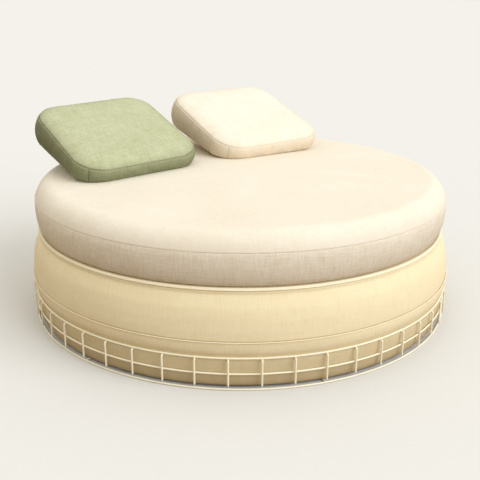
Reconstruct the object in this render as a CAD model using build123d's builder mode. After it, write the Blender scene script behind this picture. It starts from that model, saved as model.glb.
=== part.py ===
from build123d import *
import math
import os

# Round bed: a padded drum standing in a welded wire basket, with a loose round mattress
# and two loose wedge cushions. Millimetres, +Z up, floor at zero, head of the bed along +Y.

# Driving sizes of the wire basket
ring_radius = 1000
wire_size = 8
ring_pitch = 67
bend_cut = 8
tip_height = 20
inner_ring_setback = 200
inner_ring_width = 12
tie_count = 6
first_tie = 15
upright_count = 48
upright_groups = 8
wire_sides = 6
weld_gap = 0.3

# Driving sizes of the padded drum: how far each part of it stands in from the rings or past them
frame_setback = 70
frame_sides = 24
frame_board = 12
panel_board = 18
dust_cloth = 1.5
drum_foot_setback = 22
drum_heel_setback = 13
drum_heel_rise = 14
drum_waist_setback = 9.5
drum_waist_height = 75
shoulder_bulge = 5
shoulder_height = 168
seam_of_drum = 207
belly_setback = 1
belly_height = 275
haunch_setback = 14
haunch_height = 335
rim_setback = 42
welt_size = 4
deck_height = 402.5
piping_size = 12
piping_setback = 36

# Driving sizes of the mattress: how far its outline stands in from the rings, and its levels
mattress_clearance = 0.3
mattress_foot_setback = 55
mattress_heel_setback = 39
mattress_heel_rise = 16
mattress_lower_setback = 26
mattress_lower_rise = 55
mattress_widest_setback = 21.5
mattress_widest_rise = 110
mattress_seam_setback = 25
mattress_seam_rise = 141.5
mattress_turn_setback = 39
mattress_turn_rise = 179
mattress_shoulder_setback = 69
mattress_shoulder_rise = 207
mattress_edge_setback = 112
mattress_edge_rise = 218.6
mattress_top_setback = 210
mattress_height = 228.7
core_setback = 130
mattress_cloth = 2

# Driving sizes of the cushions
cushion_side = 650
cushion_corner = 144
cushion_front = 66
cushion_back = 148
corner_facets = 5
filling_inset = 90
cushion_clearance = 0.3

# Where the cushions lie: in from the rings at the head and at the side, and over the mattress
cushion_head_setback = 567
green_side_setback = 548
green_rise = 113
green_turn = 1.8
green_tilt = 15.7
green_roll = -1.85
white_side_setback = 683
white_rise = 117.4
white_turn = -0.2
white_tilt = 15.2
white_roll = -1

# Forms of a cushion from the seam: depth of the band, rise of the top, drop of the underside,
# each with how far the outline stands in from the widest one
band_form = [(0, 18.6), (12, 8), (38, 2), (90, 0)]
crown_form = [(0, 18.6), (7, 36), (15, 72), (23, 132)]
belly_form = [(0, 18.6), (18, 42), (40, 80), (62, 128)]

# Levels of the basket
ring_heights = [wire_size / 2 + ring_pitch * step for step in range(3)]
wire_corner = wire_size / 2 / math.cos(math.pi / wire_sides)
upright_radius = ring_radius + wire_corner + weld_gap + wire_size / 2
stub_height = ring_heights[2] - wire_size
ring_inside = ring_radius - wire_corner
inner_ring_radius = ring_radius - inner_ring_setback

# Outline and levels of the drum
frame_apothem = ring_radius - frame_setback
drum_foot_radius = ring_radius - drum_foot_setback
drum_heel_radius = ring_radius - drum_heel_setback
drum_waist_radius = ring_radius - drum_waist_setback
drum_radius = ring_radius + shoulder_bulge
belly_radius = ring_radius - belly_setback
haunch_radius = ring_radius - haunch_setback
rim_radius = ring_radius - rim_setback
piping_radius = ring_radius - piping_setback
floor_of_drum = wire_size
panel_bottom = floor_of_drum + dust_cloth
panel_top = panel_bottom + panel_board
deck_bottom = deck_height - panel_board
ring_top = ring_heights[2] + wire_size / 2
frame_turn = 180 / frame_sides
frame_inside = frame_apothem - frame_board

# Outline and levels of the mattress
core_apothem = ring_radius - core_setback
mattress_foot_radius = ring_radius - mattress_foot_setback
mattress_heel_radius = ring_radius - mattress_heel_setback
mattress_lower_radius = ring_radius - mattress_lower_setback
mattress_radius = ring_radius - mattress_widest_setback
mattress_seam_radius = ring_radius - mattress_seam_setback
mattress_turn_radius = ring_radius - mattress_turn_setback
mattress_shoulder_radius = ring_radius - mattress_shoulder_setback
mattress_edge_radius = ring_radius - mattress_edge_setback
mattress_top_radius = ring_radius - mattress_top_setback
mattress_bottom = deck_height + piping_size + mattress_clearance
core_bottom = mattress_bottom + mattress_cloth
seam_height = mattress_bottom + mattress_seam_rise
crown_height = mattress_bottom + mattress_height
rest_height = crown_height + cushion_clearance

# The seam planes of a cushion lean to each other and meet on a line in front of it
lean = math.degrees(math.atan((cushion_back - cushion_front) / 2 / cushion_side))
half_middle = (cushion_back + cushion_front) / 4
filling_side = cushion_side - 2 * filling_inset
overrun = cushion_side * 2


def wire_section(radius, height):
    with BuildSketch(Plane.XZ) as section:
        with Locations((radius, height)):
            RegularPolygon(wire_size / 2, wire_sides, major_radius=False)
    return section.sketch


def polygon(apothem, height):
    with BuildSketch(Plane.XY.offset(height)) as outline:
        RegularPolygon(apothem, frame_sides, major_radius=False, rotation=frame_turn)
    return outline.sketch


def bar(start, end, height, half):
    # A straight level bar along +X
    with BuildPart() as straight:
        with BuildSketch(Plane(origin=(start, 0, height), x_dir=(0, 1, 0), z_dir=(1, 0, 0))):
            RegularPolygon(half, wire_sides, major_radius=False)
        extrude(amount=end - start)
    return straight.part


def outline(plane, inset):
    # Rounded square with facets in its corners
    facet = 90 / corner_facets
    centre = cushion_side / 2 - cushion_corner
    radius = (cushion_corner - inset) / math.cos(math.radians(facet / 2))
    points = []
    for corner, (across, along) in enumerate([(1, 1), (-1, 1), (-1, -1), (1, -1)]):
        for step in range(corner_facets):
            angle = math.radians(90 * corner + facet * (step + 1 / 2))
            x = centre * across + radius * math.cos(angle)
            y = centre * along + radius * math.sin(angle)
            points.append((x, y))
    with BuildSketch(plane) as sketch:
        Polygon(*points, align=None)
    return sketch.sketch


def drawn_in(seam, low, low_inset, high, high_inset):
    # One layer between two levels over a seam plane, wider at its lower level
    taper = math.degrees(math.atan((low_inset - high_inset) / (low - high)))
    extrude(outline(seam.offset(low), low_inset), amount=high - low, taper=taper)


os.makedirs("parts", exist_ok=True)

# Welded wire rings
with BuildPart() as bottom_ring:
    revolve(wire_section(ring_radius, ring_heights[0]), axis=Axis.Z)
bottom_ring.part.label = "bottom_ring"
export_step(bottom_ring.part, "parts/bottom_ring.step")

with BuildPart() as middle_ring:
    revolve(wire_section(ring_radius, ring_heights[1]), axis=Axis.Z)
middle_ring.part.label = "middle_ring"
export_step(middle_ring.part, "parts/middle_ring.step")

with BuildPart() as top_ring:
    revolve(wire_section(ring_radius, ring_heights[2]), axis=Axis.Z)
top_ring.part.label = "top_ring"
export_step(top_ring.part, "parts/top_ring.step")

# Flat bar under the drum that ties the inner ends of the spokes
bar_outside = inner_ring_radius + inner_ring_width / 2
with BuildPart() as inner_ring:
    extrude(polygon(bar_outside, 0), amount=wire_size)
    extrude(polygon(inner_ring_radius - inner_ring_width / 2, 0), amount=wire_size, mode=Mode.SUBTRACT)
inner_ring.part.label = "inner_ring"
export_step(inner_ring.part, "parts/inner_ring.step")

# Spokes under the drum from the flat bar out to the bottom ring, and over them ties
# from the stubs of some uprights through the padding to the wall of the drum
spoke = bar(bar_outside + weld_gap, ring_inside - weld_gap, ring_heights[0], wire_size / 2)
tie = bar(frame_apothem + weld_gap, ring_inside - weld_gap, stub_height, wire_size / 2)
for number in range(tie_count):
    angle = first_tie + number * 360 / tie_count
    with BuildPart() as placed_spoke:
        add(spoke.rotate(Axis.Z, angle))
    placed_spoke.part.label = f"spoke_{number + 1}"
    export_step(placed_spoke.part, f"parts/spoke_{number + 1}.step")

    with BuildPart() as placed_tie:
        add(tie.rotate(Axis.Z, angle))
    placed_tie.part.label = f"tie_{number + 1}"
    export_step(placed_tie.part, f"parts/tie_{number + 1}.step")

# One upright: a short stub under the top ring and the wire outside the rings, free at its foot
with BuildPart() as upright:
    with BuildLine(Plane.XZ):
        Polyline(
            (ring_inside, stub_height),
            (upright_radius - bend_cut, stub_height),
            (upright_radius, stub_height - bend_cut),
            (upright_radius, tip_height),
        )
    with BuildSketch(Plane(origin=(ring_inside, 0, stub_height), x_dir=(0, 1, 0), z_dir=(1, 0, 0))):
        RegularPolygon(wire_size / 2, wire_sides, major_radius=False)
    sweep(transition=Transition.RIGHT)

# The uprights stand in eight equal groups
group_size = upright_count // upright_groups
group_angle = 360 / upright_groups
for group in range(upright_groups):
    with BuildPart() as uprights:
        with PolarLocations(0, group_size, start_angle=group * group_angle, angular_range=group_angle):
            add(upright.part)
    uprights.part.label = f"uprights_{group + 1}"
    export_step(uprights.part, f"parts/uprights_{group + 1}.step")

# Boards of the drum
with BuildPart() as dust_cover:
    extrude(polygon(frame_apothem, floor_of_drum), amount=panel_bottom - floor_of_drum)
dust_cover.part.label = "dust_cover"
export_step(dust_cover.part, "parts/dust_cover.step")

with BuildPart() as base_panel:
    extrude(polygon(frame_apothem, panel_bottom), amount=panel_top - panel_bottom)
base_panel.part.label = "base_panel"
export_step(base_panel.part, "parts/base_panel.step")

with BuildPart() as wall_frame:
    extrude(polygon(frame_apothem, panel_top), amount=deck_bottom - panel_top)
    extrude(polygon(frame_inside, panel_top), amount=deck_bottom - panel_top, mode=Mode.SUBTRACT)
wall_frame.part.label = "wall_frame"
export_step(wall_frame.part, "parts/wall_frame.step")

rib_height = deck_bottom - panel_top
rib_middle = (deck_bottom + panel_top) / 2
with BuildPart() as long_rib:
    with Locations((0, 0, rib_middle)):
        Box(frame_inside * 2, panel_board, rib_height)
long_rib.part.label = "long_rib"
export_step(long_rib.part, "parts/long_rib.step")

short_length = frame_inside - panel_board / 2
short_middle = (frame_inside + panel_board / 2) / 2
with BuildPart() as head_rib:
    with Locations((0, short_middle, rib_middle)):
        Box(panel_board, short_length, rib_height)
head_rib.part.label = "head_rib"
export_step(head_rib.part, "parts/head_rib.step")

with BuildPart() as foot_rib:
    with Locations((0, -short_middle, rib_middle)):
        Box(panel_board, short_length, rib_height)
foot_rib.part.label = "foot_rib"
export_step(foot_rib.part, "parts/foot_rib.step")

with BuildPart() as deck_panel:
    extrude(polygon(frame_apothem, deck_bottom), amount=deck_height - deck_bottom)
deck_panel.part.label = "deck_panel"
export_step(deck_panel.part, "parts/deck_panel.step")

# Padded covers of the drum
tie_hole = bar(frame_inside, ring_radius, stub_height, wire_size / 2 + weld_gap)
with BuildPart() as lower_cover:
    with BuildSketch(Plane.XZ):
        with BuildLine():
            Polyline(
                (0, floor_of_drum),
                (drum_foot_radius, floor_of_drum),
                (drum_heel_radius, floor_of_drum + drum_heel_rise),
                (drum_waist_radius, drum_waist_height),
                (ring_inside - weld_gap, ring_top + weld_gap),
                (drum_radius, shoulder_height),
                (drum_radius, seam_of_drum),
                (0, seam_of_drum),
                (0, floor_of_drum),
            )
        make_face()
    revolve(axis=Axis.Z)
    extrude(polygon(frame_apothem, floor_of_drum), amount=seam_of_drum - floor_of_drum, mode=Mode.SUBTRACT)
    with PolarLocations(0, tie_count, start_angle=first_tie):
        add(tie_hole, mode=Mode.SUBTRACT)
lower_cover.part.label = "lower_cover"
export_step(lower_cover.part, "parts/lower_cover.step")

with BuildPart() as upper_cover:
    with BuildSketch(Plane.XZ):
        with BuildLine():
            Polyline(
                (0, seam_of_drum),
                (drum_radius, seam_of_drum),
                (belly_radius, belly_height),
                (haunch_radius, haunch_height),
                (rim_radius, deck_height),
                (0, deck_height),
                (0, seam_of_drum),
            )
        make_face()
    revolve(axis=Axis.Z)
    extrude(polygon(frame_apothem, seam_of_drum), amount=deck_height - seam_of_drum, mode=Mode.SUBTRACT)
upper_cover.part.label = "upper_cover"
export_step(upper_cover.part, "parts/upper_cover.step")

welt_radius = drum_radius + weld_gap + welt_size / 2
with BuildPart() as base_welt:
    with BuildSketch(Plane.XZ):
        with Locations((welt_radius, seam_of_drum)):
            Rectangle(welt_size, welt_size)
    revolve(axis=Axis.Z)
base_welt.part.label = "base_welt"
export_step(base_welt.part, "parts/base_welt.step")

with BuildPart() as rim_piping:
    with BuildSketch(Plane.XZ):
        with Locations((piping_radius, deck_height + piping_size / 2)):
            Rectangle(piping_size, piping_size)
    revolve(axis=Axis.Z)
rim_piping.part.label = "rim_piping"
export_step(rim_piping.part, "parts/rim_piping.step")

deck_cover_radius = piping_radius - piping_size / 2 - weld_gap
with BuildPart() as deck_cover:
    with BuildSketch(Plane.XY.offset(deck_height)):
        RegularPolygon(deck_cover_radius, frame_sides * 2)
    extrude(amount=piping_size)
deck_cover.part.label = "deck_cover"
export_step(deck_cover.part, "parts/deck_cover.step")

# Mattress
with BuildPart() as mattress_underside:
    extrude(polygon(core_apothem, mattress_bottom), amount=mattress_cloth)
mattress_underside.part.label = "mattress_underside"
export_step(mattress_underside.part, "parts/mattress_underside.step")

with BuildPart() as mattress_core:
    extrude(polygon(core_apothem, core_bottom), amount=seam_height - core_bottom)
mattress_core.part.label = "mattress_core"
export_step(mattress_core.part, "parts/mattress_core.step")

with BuildPart() as mattress_side:
    with BuildSketch(Plane.XZ):
        with BuildLine():
            Polyline(
                (0, mattress_bottom),
                (mattress_foot_radius, mattress_bottom),
                (mattress_heel_radius, mattress_bottom + mattress_heel_rise),
                (mattress_lower_radius, mattress_bottom + mattress_lower_rise),
                (mattress_radius, mattress_bottom + mattress_widest_rise),
                (mattress_seam_radius, seam_height),
                (0, seam_height),
                (0, mattress_bottom),
            )
        make_face()
    revolve(axis=Axis.Z)
    extrude(polygon(core_apothem, mattress_bottom), amount=seam_height - mattress_bottom, mode=Mode.SUBTRACT)
mattress_side.part.label = "mattress_side"
export_step(mattress_side.part, "parts/mattress_side.step")

with BuildPart() as mattress_top:
    with BuildSketch(Plane.XZ):
        with BuildLine():
            Polyline(
                (0, seam_height),
                (mattress_seam_radius, seam_height),
                (mattress_turn_radius, mattress_bottom + mattress_turn_rise),
                (mattress_shoulder_radius, mattress_bottom + mattress_shoulder_rise),
                (mattress_edge_radius, mattress_bottom + mattress_edge_rise),
                (mattress_top_radius, crown_height),
                (0, crown_height),
                (0, seam_height),
            )
        make_face()
    revolve(axis=Axis.Z)
mattress_top.part.label = "mattress_top"
export_step(mattress_top.part, "parts/mattress_top.step")

# Cushions: a filling between the two seam planes, a band round it, a top and an underside
green_aside = green_side_setback - ring_radius
white_aside = ring_radius - white_side_setback
poses = {
    "green": (green_aside, green_rise, green_turn, green_tilt, green_roll),
    "white": (white_aside, white_rise, white_turn, white_tilt, white_roll),
}
rest = Plane.XY.offset(rest_height)
for colour, (aside, rise, turn, tilt, roll) in poses.items():
    place = Pos(aside, ring_radius - cushion_head_setback, rest_height + rise)
    pose = place * Rot(0, 0, turn) * Rot(tilt, 0, 0) * Rot(0, roll, 0)
    middle = Plane(pose)
    upper_seam = Plane(pose * Pos(0, 0, half_middle) * Rot(lean, 0, 0))
    lower_seam = Plane(pose * Pos(0, 0, -half_middle) * Rot(-lean, 0, 0) * Rot(0, 180, 0))

    with BuildPart() as filling:
        with BuildSketch(middle):
            Rectangle(filling_side, filling_side)
        extrude(amount=overrun, both=True)
        for seam in (upper_seam, lower_seam):
            split(bisect_by=seam, keep=Keep.BOTTOM)
        split(bisect_by=rest, keep=Keep.TOP)
    filling.part.label = f"{colour}_filling"
    export_step(filling.part, f"parts/{colour}_filling.step")

    with BuildPart() as upper_band:
        for (high, high_inset), (low, low_inset) in zip(band_form, band_form[1:]):
            drawn_in(upper_seam, -low, low_inset, -high, high_inset)
        split(bisect_by=middle, keep=Keep.TOP)

    with BuildPart() as band:
        add(upper_band.part)
        add(mirror(upper_band.part, about=middle, mode=Mode.PRIVATE))
        split(bisect_by=rest, keep=Keep.TOP)
        add(filling.part, mode=Mode.SUBTRACT)
    band.part.label = f"{colour}_band"
    export_step(band.part, f"parts/{colour}_band.step")

    with BuildPart() as top:
        for low, high in zip(crown_form, crown_form[1:]):
            drawn_in(upper_seam, *low, *high)
    top.part.label = f"{colour}_top"
    export_step(top.part, f"parts/{colour}_top.step")

    with BuildPart() as belly:
        for low, high in zip(belly_form, belly_form[1:]):
            drawn_in(upper_seam, *low, *high)

    with BuildPart() as underside:
        add(mirror(belly.part, about=middle, mode=Mode.PRIVATE))
        split(bisect_by=rest, keep=Keep.TOP)
    underside.part.label = f"{colour}_underside"
    export_step(underside.part, f"parts/{colour}_underside.step")
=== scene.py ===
import bmesh
import bpy
import math
import numpy as np
from bpy.props import FloatProperty, FloatVectorProperty, IntProperty, PointerProperty
from bpy.types import Operator, Panel, PropertyGroup
from mathutils import Matrix, Vector, noise


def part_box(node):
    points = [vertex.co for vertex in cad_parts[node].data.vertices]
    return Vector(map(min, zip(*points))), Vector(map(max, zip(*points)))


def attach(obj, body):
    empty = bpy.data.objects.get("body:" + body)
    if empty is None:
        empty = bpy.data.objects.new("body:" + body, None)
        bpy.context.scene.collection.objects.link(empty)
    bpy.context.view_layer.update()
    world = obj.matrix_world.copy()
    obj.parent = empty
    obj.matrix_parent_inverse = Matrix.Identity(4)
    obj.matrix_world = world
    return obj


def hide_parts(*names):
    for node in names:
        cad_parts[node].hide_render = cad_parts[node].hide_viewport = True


bl_info = {
    "name": "Round Bed",
    "version": (1, 0, 0),
    "blender": (4, 5, 0),
    "location": "3D View > Sidebar > Round Bed",
    "description": "Dresses a round bed: a padded drum in a wire basket, a mattress and two cushions",
    "category": "Object",
}

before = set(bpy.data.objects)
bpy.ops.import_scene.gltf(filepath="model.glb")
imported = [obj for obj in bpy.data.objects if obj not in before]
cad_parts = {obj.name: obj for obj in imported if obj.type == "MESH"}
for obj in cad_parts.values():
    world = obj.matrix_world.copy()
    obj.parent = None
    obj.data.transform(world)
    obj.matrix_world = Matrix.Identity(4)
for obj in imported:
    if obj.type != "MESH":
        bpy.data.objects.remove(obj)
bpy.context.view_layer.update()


# Places taken from the frame

def middle_height(node):
    low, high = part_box(node)
    return (low.z + high.z) / 2


TURN = 2 * math.pi
# The wires of the solids have six sides with a corner outwards, and their boards and foam have 24
BOARD_SIDES = 24
RING_LOW, RING_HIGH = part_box("top_ring")
WIRE = RING_HIGH.z - RING_LOW.z
RING_RADIUS = RING_HIGH.x - WIRE / math.sqrt(3)
RING_HEIGHTS = [middle_height(f"{place}_ring") for place in ("bottom", "middle", "top")]
BAR_HALF = 0.006
INNER_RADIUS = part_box("inner_ring")[1].x - BAR_HALF
UPRIGHT_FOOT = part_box("uprights_1")[0].z
STUB_HEIGHT = middle_height("tie_1")
WALL_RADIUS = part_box("wall_frame")[1].x
DRUM_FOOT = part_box("lower_cover")[0].z
DRUM_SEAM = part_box("lower_cover")[1].z
DRUM_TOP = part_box("upper_cover")[1].z
BOARD_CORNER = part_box("base_panel")[1].x / math.cos(math.pi / BOARD_SIDES)
MATTRESS_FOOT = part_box("mattress_side")[0].z
MATTRESS_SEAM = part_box("mattress_side")[1].z
CORE_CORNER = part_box("mattress_core")[1].x / math.cos(math.pi / BOARD_SIDES)

# Air between a piece and what lies against it
CLEAR = 0.0002
# Less than any length of the bed
NOTHING = 1e-9

# Outline of the mattress in section: the lower and the upper quarter meet where it is widest
NECK_RADIUS = 0.9500
WIDEST_RADIUS = 0.9783
WIDEST_HEIGHT = 0.5277
SHOULDER_RADIUS = 0.888
SHOULDER_HEIGHT = 0.6334
SHOULDER_ROUND = 2.05
DOME = 0.019


# Sizes and colours a user may change

def paint(red, green, blue):
    """A colour read off a paint chart, 0 to 255, as the light values that Blender mixes."""
    values = [c / 255 for c in (red, green, blue)]
    return tuple(c / 12.92 if c <= 0.04045 else ((c + 0.055) / 1.055) ** 2.4 for c in values)


def size(name, description, default):
    return FloatProperty(name=name, description=description, default=default, min=0, unit="LENGTH",
                         subtype="DISTANCE", precision=4)


def colour(name, description, *chart):
    return FloatVectorProperty(name=name, description=description, default=paint(*chart), min=0, max=1,
                               subtype="COLOR", size=3)


def strength(name, description, default):
    return FloatProperty(name=name, description=description, default=default, min=0)


class BasketSizes(PropertyGroup):
    wire: size("Wire", "Diameter of the rings and uprights", WIRE)
    uprights: IntProperty(name="Uprights", description="How many uprights stand round the basket", default=48)
    ties: IntProperty(name="Ties", description="How many spokes and how many ties hold the basket", default=6)
    first_tie: FloatProperty(name="First tie", description="Turn of the first spoke and tie",
                             default=math.radians(15), subtype="ANGLE")
    bend: size("Bend", "Radius of the bend under the top ring", 0.0045)
    bead: size("Weld", "Half the length of a weld bead", 0.0046)
    paint: colour("Paint", "Powder coat of the wires", 255, 248, 222)


class DrumSizes(PropertyGroup):
    welt: size("Welt", "Radius of the welt between the two covers", 0.0024)
    piping: size("Piping", "Radius of the cord in the piping round the deck", 0.0036)
    swell: size("Swell", "How far the padding rises and falls along the drum", 0.0012)
    linen: colour("Linen", "Cloth of the drum", 252, 240, 205)
    yarn: colour("Yarn", "Darker yarns in the cloth of the drum", 235, 216, 173)
    trim: colour("Trim", "Welt and piping", 250, 238, 209)


class MattressSizes(PropertyGroup):
    swell: size("Swell", "How far the top of the mattress rises and falls", 0.0012)
    stitch: size("Stitch", "Length of one stitch beside the seam", 0.0042)
    linen: colour("Linen", "Cloth of the mattress and of one cushion", 247, 240, 226)
    yarn: colour("Yarn", "Darker yarns in that cloth", 228, 213, 188)


class CushionSizes(PropertyGroup):
    side: size("Side", "Width of a cushion across its widest line", 0.65)
    front: size("Front", "Height of the band at the thin end", 0.066)
    back: size("Back", "Height of the band at the thick end", 0.148)
    corner: size("Corner", "Radius of the corners", 0.1455)
    tuck: size("Tuck", "How far the seams stand in from the widest line at the thick end", 0.0190)
    crown: size("Crown", "Rise of the middle of the top", 0.0110)
    roll: size("Roll", "Rise of the top close beside its seam", 0.0115)
    belly: size("Belly", "Fall of the underside from its seam, before it rests", 0.110)
    puff: size("Puff", "How far the stuffing may push the cloth out", 0.010)
    green: colour("Green", "Cloth of the green cushion", 200, 202, 169)
    green_yarn: colour("Green yarn", "Darker yarns in the green cloth", 168, 171, 128)


class StageSizes(PropertyGroup):
    floor: size("Floor", "Radius of the floor", 60.0)
    lens: FloatProperty(name="Lens", description="Focal length of the camera", default=56.89,
                        unit="CAMERA", subtype="DISTANCE_CAMERA")
    above: strength("Above", "Strength of the lamp overhead", 0.12)
    beside: strength("Beside", "Strength of the lamp beside the bed", 1.75)
    sky: strength("Sky", "Strength of the light from all round", 0.88)
    floor_colour: colour("Floor colour", "Paint of the floor", 228, 227, 224)
    bounce: colour("Bounce", "Colour of the light that the floor throws back", 124, 94, 40)


GROUPS = {
    "bed_basket": BasketSizes, "bed_drum": DrumSizes, "bed_mattress": MattressSizes,
    "bed_cushions": CushionSizes, "bed_stage": StageSizes,
}


# Node trees written as sums

class Signal:
    """One socket of a node tree. A sum written on it adds the nodes that work it out."""

    def __init__(self, nodes, socket):
        self.nodes, self.socket = nodes, socket

    def sum(self, operation, other=None, swapped=False):
        values = (other, self) if swapped else (self, other)
        return self.nodes.add("ShaderNodeMath", dict(enumerate(values)), operation=operation)

    def __add__(self, other):
        return self.sum("ADD", other)

    def __sub__(self, other):
        return self.sum("SUBTRACT", other)

    def __mul__(self, other):
        return self.sum("MULTIPLY", other)

    def __truediv__(self, other):
        return self.sum("DIVIDE", other)

    def __pow__(self, other):
        return self.sum("POWER", other)

    def __rsub__(self, other):
        return self.sum("SUBTRACT", other, swapped=True)

    __radd__ = __add__
    __rmul__ = __mul__

    def wave(self):
        return self.sum("SINE")

    def part(self, name):
        return Signal(self.nodes, self.socket.node.outputs[name])


class Nodes:
    """A node tree of a material, of the world or of a growing shape, while it is being made."""

    def __init__(self, tree):
        self.tree = tree
        tree.nodes.clear()

    def add(self, kind, inputs=None, **settings):
        """A node of a kind. Its settings go in first, and then the values or links of its sockets."""
        node = self.tree.nodes.new(kind)
        for name, value in settings.items():
            setattr(node, name, value)
        for name, value in (inputs or {}).items():
            self.put(node.inputs[name], value)
        return Signal(self, node.outputs[0]) if len(node.outputs) else node

    def put(self, socket, value):
        if isinstance(value, list):
            for one in value:
                self.put(socket, one)
        elif isinstance(value, Signal):
            self.tree.links.new(value.socket, socket)
        elif value is not None:
            if socket.type == "RGBA" and len(value) == 3:
                value = (*value, 1)
            socket.default_value = value

    def place(self):
        """Where a point lies, on the piece's own axes and in metres."""
        return self.add("ShaderNodeTexCoord").part("Object")

    def apart(self, vector):
        """The three parts of a vector."""
        split = self.add("ShaderNodeSeparateXYZ", {"Vector": vector})
        return [split.part(axis) for axis in "XYZ"]

    def vector(self, x, y, z=0.0):
        return self.add("ShaderNodeCombineXYZ", {"X": x, "Y": y, "Z": z})

    def mix(self, factor, first, second):
        """A colour between two colours."""
        return self.add("ShaderNodeMix", {0: factor, 6: first, 7: second}, data_type="RGBA").part(2)

    def dyed(self, shade, tint):
        """A colour with a tint laid over it."""
        return self.add("ShaderNodeVectorMath", {0: shade, 1: tint}, operation="MULTIPLY")

    def noise(self, where, scale, detail=2.0, roughness=0.5):
        values = {"Vector": where, "Scale": scale, "Detail": detail, "Roughness": roughness}
        return self.add("ShaderNodeTexNoise", values, noise_dimensions="3D")

    def between(self, value, low, high):
        """A value spread from 0 at low to 1 at high, and cut off there."""
        return self.add("ShaderNodeMapRange", {"Value": value, "From Min": low, "From Max": high}, clamp=True)

    def bump(self, height, strength, depth):
        return self.add("ShaderNodeBump", {"Strength": strength, "Distance": depth, "Height": height})


# Finishes, each made once and kept by its name

FINISHES = {}


def finished(name, sockets, build):
    """A material with one surface shader. build gives what varies; sockets has what is the same all over."""
    if name in FINISHES:
        return FINISHES[name]
    material = FINISHES[name] = bpy.data.materials.new(name)
    material.use_nodes = True
    nodes = Nodes(material.node_tree)
    shader = nodes.add("ShaderNodeBsdfPrincipled", {**sockets, **build(nodes)})
    nodes.add("ShaderNodeOutputMaterial", {"Surface": shader})
    return material


def darker(light, share):
    return tuple(c * share for c in light)


def linen(name, light, dark, weft=1.0, pitch=0.0016, depth=0.00035, contrast=1.0, turn=0.0, seams=None,
          foot=None):
    """A plain weave of uneven yarns on the piece's own cloth map, in metres.

    weft is how thick the cross yarns are beside the long ones, pitch and depth are the sizes of the
    weave, contrast says how much the yarns differ, and turn lays them at an angle to the map, in
    degrees. seams says how strongly red, green and blue darken with the painted shade on the band,
    beneath and beside its seams, where the mesh has that measure. foot is painted shade that darkens
    the cloth downwards: the tint it takes, and the heights where it is full and where it ends.
    """
    fine, long, pushed = 190.0, 19.0, 1.6
    body, slubby, patchy, drifting, woven = 0.62, 1.25 * contrast, 0.5 * contrast, 0.45, 0.10
    cos, sin = math.cos(math.radians(turn)), math.sin(math.radians(turn))
    step = TURN / pitch

    def build(nodes):
        across, along, _ = nodes.apart(nodes.add("ShaderNodeUVMap", uv_map="cloth"))
        u, v = across * cos + along * sin, along * cos - across * sin
        # The third number of a place only keeps one pattern apart from the next
        warp_slub = nodes.noise(nodes.vector(u * fine, v * long, 3.7), 1.0, 3.0, 0.6)
        weft_slub = nodes.noise(nodes.vector(u * long, v * fine, 8.3), 1.0, 3.0, 0.6)
        thick = (warp_slub + weft_slub * weft) / (1.0 + weft)
        patch = nodes.noise(nodes.vector(u, v, 1.9), 14.0, 3.0, 0.6)
        broad = nodes.noise(nodes.vector(u, v, 6.1), 2.2, 2.0, 0.5)
        uneven = (thick - 0.5) * 2.0
        weave = (u * step + uneven * pushed).wave() * (v * step + uneven * pushed).wave()
        tone = body + uneven * slubby + (patch - 0.5) * patchy + (broad - 0.5) * drifting + weave * woven
        height = nodes.between(weave * 0.32 + uneven * 0.75 + 0.5, 0.0, 1.0)
        shade = nodes.mix(nodes.between(tone, 0.0, 1.0), dark, light)
        # Painted shade read from the mesh: the band, the underside and the seams darker
        if seams:
            clean = nodes.add("ShaderNodeAttribute", attribute_name="clean").part("Fac")
            shade = nodes.dyed(shade, nodes.vector(*(clean ** power for power in seams)))
        # Painted shade that darkens the cloth downwards
        if foot:
            tint, low, high = foot
            level = nodes.apart(nodes.place())[2] + (patch - 0.5) * 0.02
            shade = nodes.mix(nodes.between(level, low, high) ** 0.8, nodes.dyed(shade, tint), shade)
        return {"Base Color": shade, "Roughness": 0.93 - thick * 0.14,
                "Normal": nodes.bump(height, 0.75, depth)}

    return finished(name, {"Specular IOR Level": 0.15}, build)


def mattress_cloth(name, **look):
    """The linen of the mattress and of the pale cushion."""
    cloths = bpy.context.scene.bed_mattress
    return linen(name, cloths.linen, cloths.yarn, weft=0.8, **look)


def drum_cloth(name, **look):
    cloths = bpy.context.scene.bed_drum
    return linen(name, cloths.linen, cloths.yarn, weft=0.6, contrast=0.45, **look)


def green_cloth():
    cloths = bpy.context.scene.bed_cushions
    # The green cushion's band, underside and seams get strong painted shade, blue darkest
    return linen("green_weave", cloths.green, cloths.green_yarn, seams=(1.45, 1.42, 1.62))


def trim_cloth():
    trim = bpy.context.scene.bed_drum.trim
    return linen("trim_weave", trim, darker(trim, 0.92), pitch=0.0012, depth=0.0002)


def cotton():
    """Plain cotton for what the mattress hides."""
    return linen("deck_cotton", paint(226, 208, 168), paint(204, 184, 142), contrast=0.6)


def powder_coat(light):
    """Cream powder coat on wire, with a fine orange peel and a little wear in specks."""

    def build(nodes):
        place = nodes.place()
        peel = nodes.noise(place, 900.0)
        drift = nodes.noise(place, 9.0, 3.0, 0.6)
        speck = nodes.between(nodes.noise(place, 240.0, 2.0, 0.6), 0.70, 0.76)
        tone = nodes.mix(drift, darker(light, 0.93), light)
        return {
            "Base Color": nodes.mix(speck * 0.5, tone, darker(light, 0.72)),
            "Roughness": 0.36 + drift * 0.16,
            "Normal": nodes.bump(peel, 0.25, 0.0002),
        }

    return finished("powder_coat", {"Specular IOR Level": 0.5, "Coat Roughness": 0.3}, build)


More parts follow.
